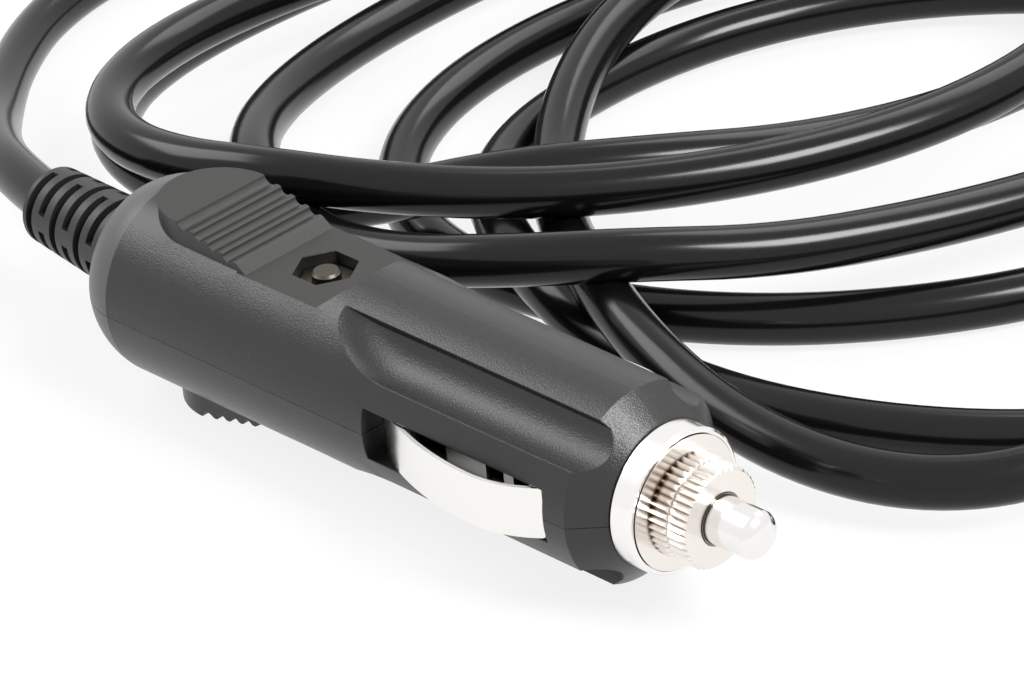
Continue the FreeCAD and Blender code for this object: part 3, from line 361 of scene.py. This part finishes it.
def dress_shell(shell, upright):
    """Smooth pads and rear shoulder on the grained half shells."""
    mesh = shell.data
    place = shell.matrix_world
    for face in mesh.polygons:
        middle = place @ face.center / MM - Vector((NOSE_X, 0, PAD_HEIGHT))
        normal = place.to_3x3() @ face.normal
        height = middle.z * upright
        on_pad = PAD_REAR - PAD_MARGIN < middle.x < FACET_END and abs(middle.y) < PAD_SIDE + SIDE_MARGIN
        flat = normal.z * upright > LEVEL_NORMAL or middle.x < FACET_REAR
        if on_pad and height > PAD_LOW and flat:
            face.material_index = 1
        # Faces of the rear shoulder band, which take the lighter material with the painted sheen
        elif middle.x < SHOULDER_FRONT and math.hypot(middle.y, middle.z) > SHOULDER_INSIDE:
            face.material_index = 2
        else:
            face.material_index = 0


def direct_rays(tree):
    """Gives 1 for a ray from the camera, off a shiny thing or through glass."""
    ray = tree.nodes.new("ShaderNodeLightPath")
    either = tree.nodes.new("ShaderNodeMath")
    either.operation = "MAXIMUM"
    any_ray = tree.nodes.new("ShaderNodeMath")
    any_ray.operation = "MAXIMUM"
    tree.links.new(ray.outputs["Is Camera Ray"], either.inputs[0])
    tree.links.new(ray.outputs["Is Glossy Ray"], either.inputs[1])
    tree.links.new(either.outputs[0], any_ray.inputs[0])
    tree.links.new(ray.outputs["Is Transmission Ray"], any_ray.inputs[1])
    return any_ray.outputs[0]


def pale_surface(name, strength):
    """White as the camera and shiny things see it, with the object's shadow kept."""
    material = bpy.data.materials.new(name)
    material.use_nodes = True
    nodes = material.node_tree.nodes
    links = material.node_tree.links
    nodes.clear()
    output = nodes.new("ShaderNodeOutputMaterial")
    mix = nodes.new("ShaderNodeMixShader")
    white = nodes.new("ShaderNodeBsdfDiffuse")
    white.inputs["Color"].default_value = (0.93, 0.93, 0.93, 1)
    glow = nodes.new("ShaderNodeEmission")
    glow.inputs["Color"].default_value = (1, 1, 1, 1)
    share = nodes.new("ShaderNodeMath")
    share.operation = "MULTIPLY"
    share.inputs[1].default_value = strength
    links.new(direct_rays(material.node_tree), share.inputs[0])
    links.new(share.outputs[0], mix.inputs["Fac"])
    links.new(white.outputs[0], mix.inputs[1])
    links.new(glow.outputs[0], mix.inputs[2])
    links.new(mix.outputs[0], output.inputs["Surface"])
    return material


def make_stage():
    bpy.ops.mesh.primitive_plane_add(size=8, location=(0, 0, -0.00005))
    floor = bpy.context.object
    floor.name = "floor"
    floor.data.materials.append(pale_surface("white floor", 0.85))
    world = bpy.data.worlds.new("studio")
    world.use_nodes = True
    nodes = world.node_tree.nodes
    links = world.node_tree.links
    level = nodes.new("ShaderNodeMapRange")
    level.inputs["To Min"].default_value = 0.36
    level.inputs["To Max"].default_value = 1.0
    links.new(direct_rays(world.node_tree), level.inputs["Value"])
    background = nodes["Background"]
    background.inputs["Color"].default_value = (1, 1, 1, 1)
    links.new(level.outputs["Result"], background.inputs["Strength"])
    bpy.context.scene.world = world


def add_lamp(name, place, target, size, power):
    data = bpy.data.lights.new(name, "AREA")
    data.shape = "RECTANGLE"
    data.size, data.size_y = size
    data.energy = power
    lamp = bpy.data.objects.new(name, data)
    bpy.context.scene.collection.objects.link(lamp)
    lamp.location = place
    aim = Vector(target) - Vector(place)
    lamp.rotation_euler = aim.to_track_quat("-Z", "Y").to_euler()


def make_lamps():
    add_lamp("overhead", (0.56, 0.10, 0.59), (0.02, 0, 0.01), (0.30, 0.30), 6.6)
    add_lamp("left", (-0.52, -0.18, 0.58), (0, 0, 0), (0.5, 0.4), 3.0)
    add_lamp("behind", (-0.05, 0.60, 0.62), (0, 0.03, 0), (0.6, 0.4), 2.4)


def main():
    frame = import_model()
    make_camera()
    jacket = plastic("cable jacket", (0.004, 0.004, 0.0042), 0.18, shine=0.3)
    make_cable(jacket)
    body = plastic("grained body", (0.0145, 0.0148, 0.0142), 0.31, grain=1.0, grain_size=0.16, edge=0.2)
    pad = plastic("smooth pad", (0.0135, 0.013, 0.0115), 0.36, edge=0.2)
    # Painted sheen: the shoulder's lighter grey stands in for light off the white surroundings; its
    # smooth finish is real
    shoulder = plastic("smooth shoulder with painted sheen", (0.085, 0.084, 0.088), 0.4, edge=0.2)
    nickel = metal("bright nickel", (0.92, 0.90, 0.885), 0.17)
    knurl = metal("knurled nickel", (0.88, 0.83, 0.79), 0.2)
    # Painted shade: a brown tone down in the knurl's grooves
    paint_crevice_shade(knurl, (0.16, 0.10, 0.045), 0.6, 0.35, 0.8)
    tip = metal("contact nickel", (0.88, 0.86, 0.85), 0.13)
    # Painted shade: a dark brown ring at the pin's base, by the cap hole
    paint_crevice_shade(tip, (0.05, 0.033, 0.017), 0.8, 0.56, 0.86)
    sheet = metal("nickel sheet", (0.90, 0.89, 0.86), 0.22, grain=0.15)
    steel = metal("drawn steel", (0.60, 0.60, 0.60), 0.3)
    zinc = metal("screw zinc", (0.085, 0.078, 0.064), 0.38)
    # Painted shade: the strip's darker tone stands in for the leaf's shadow over it; its roughness is
    # real
    strip = metal("strip with painted shade", (0.45, 0.44, 0.42), 0.35)
    brass = metal("brass", (0.78, 0.60, 0.28), 0.3)
    rubber = plastic("relief rubber", (0.015, 0.0153, 0.0155), 0.45, edge=0.12)
    inner = plastic("inner plastic", (0.03, 0.03, 0.03), 0.5)
    moulding = plastic("barrel plug moulding", (0.02, 0.02, 0.021), 0.45, grain=0.3)
    dress(frame, ["upper_shell", "lower_shell"], body)
    for name, upright in (("upper_shell", 1), ("lower_shell", -1)):
        shell = frame["nodes"][name]
        shell.data.materials.append(pad)
        shell.data.materials.append(shoulder)
        dress_shell(shell, upright)
    dress(frame, ["nose_collar", "fuse_front_cap", "fuse_rear_cap"], nickel)
    dress(frame, ["centre_contact"], tip)
    dress(frame, ["knurled_cap"], knurl)
    frame["nodes"]["knurled_cap"].data.shade_flat()
    dress(frame, ["dc_plug_barrel", "dc_plug_contact"], nickel)
    dress(frame, ["side_contact_left", "side_contact_right"], sheet)
    dress(frame, ["contact_strip"], strip)
    make_spring(frame, steel)
    dress(frame, ["fuse_element"], steel)
    dress(frame, ["clamp_screw", "hex_nut"], zinc)
    dress(frame, ["rear_terminal"], brass)
    dress(frame, ["strain_relief"], rubber)
    dress(frame, ["cable_end", "negative_wire"], jacket)
    dress(frame, ["positive_wire"], plastic("red wire", (0.45, 0.02, 0.02), 0.35))
    dress(frame, ["fuse_sleeve", "dc_plug_liner"], inner)
    dress(frame, ["dc_plug_body"], moulding)
    dress(frame, ["fuse_glass"], clear_glass("fuse glass"))
    make_stage()
    make_lamps()
    bpy.context.scene.view_settings.view_transform = "Standard"


main()
